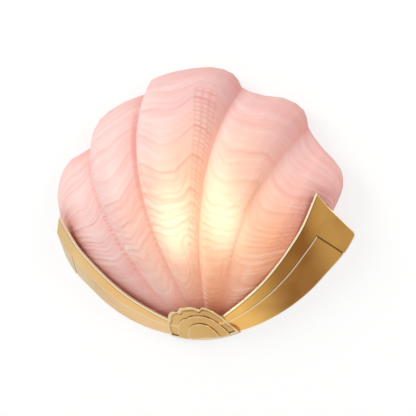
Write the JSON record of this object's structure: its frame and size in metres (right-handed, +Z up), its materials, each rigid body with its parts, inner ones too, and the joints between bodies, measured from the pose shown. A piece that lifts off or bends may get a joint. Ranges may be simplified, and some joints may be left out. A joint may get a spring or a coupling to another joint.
{
  "type": "shell wall sconce",
  "caption": "Wall sconce: a frosted pink glass scallop shell stands in a crescent brass cradle with a stepped medallion and lights from a screw-in bulb inside.",
  "frame": {"origin": "middle of the two wall holes on the wall plane", "axes": "+Z up, the wall is the plane Y = 0, the light faces -Y, +X to the right seen from the front"},
  "size_m": [0.31, 0.0926, 0.2722],
  "materials": {
    "brass": "satin",
    "brass_dark": "satin, aged in the hollows",
    "pink_glass": "frosted, pale pink",
    "plate_white": "satin white",
    "zinc_steel": "zinc plated",
    "clear_rubber": "milky",
    "plain_brass": "bright",
    "holder_ceramic": "glazed white",
    "solder": "dull",
    "dark_insulator": "glassy black",
    "nickel_cap": "satin",
    "opal_glass": "opal",
    "black_rubber": "matt",
    "block_plastic": "matt",
    "brown_sleeve": "matt",
    "blue_sleeve": "matt"
  },
  "bodies": {
    "base": {"wall_plate": "plate_white", "cradle_strap": "zinc_steel", "cradle_left_arm": "brass", "cradle_right_arm": "brass", "medallion_plate": "brass_dark", "medallion_mid_step": "brass_dark", "medallion_inner_step": "brass_dark", "rim_stays": "zinc_steel", "rim_pads": "clear_rubber", "shade_rests": "clear_rubber", "lampholder_bracket": "zinc_steel", "threaded_tube": "zinc_steel", "tube_nut": "plain_brass", "lampholder_body": "holder_ceramic", "threaded_contact_shell": "plain_brass", "centre_contact": "plain_brass", "cable_grommet": "black_rubber", "terminal_block": "block_plastic", "terminal_screws": "zinc_steel", "block_screw": "zinc_steel", "earth_washer": "plain_brass", "earth_screw": "plain_brass", "live_lead": "brown_sleeve", "neutral_lead": "blue_sleeve", "lug_screws": "plain_brass", "strap_screws": "zinc_steel", "bracket_screws": "zinc_steel", "stay_screws": "zinc_steel"},
    "shade": {"glass_shade": "pink_glass"},
    "bulb_carrier": {"bulb_tip_contact": "solder", "bulb_insulator": "dark_insulator"},
    "bulb": {"bulb_cap": "nickel_cap", "bulb_globe": "opal_glass"}
  },
  "joints": [
    {"name": "shade_lift", "type": "slide", "parent": "base", "child": "shade", "axis": [0, -0.5878, 0.809], "range_m": [0, 0.02]},
    {"name": "bulb_rise", "type": "slide", "parent": "base", "child": "bulb_carrier", "axis": [0, 0, 1], "range_m": [0, 0.00846]},
    {"name": "bulb_turn", "type": "hinge", "parent": "bulb_carrier", "child": "bulb", "pos_m": [0, -0.036, -0.0478], "axis": [0, 0, 1], "range_deg": [0, 1080]}
  ],
  "couplings": [
    {"joint": "bulb_rise", "follows": "bulb_turn", "m_per_rad": 0.00044882}
  ]
}
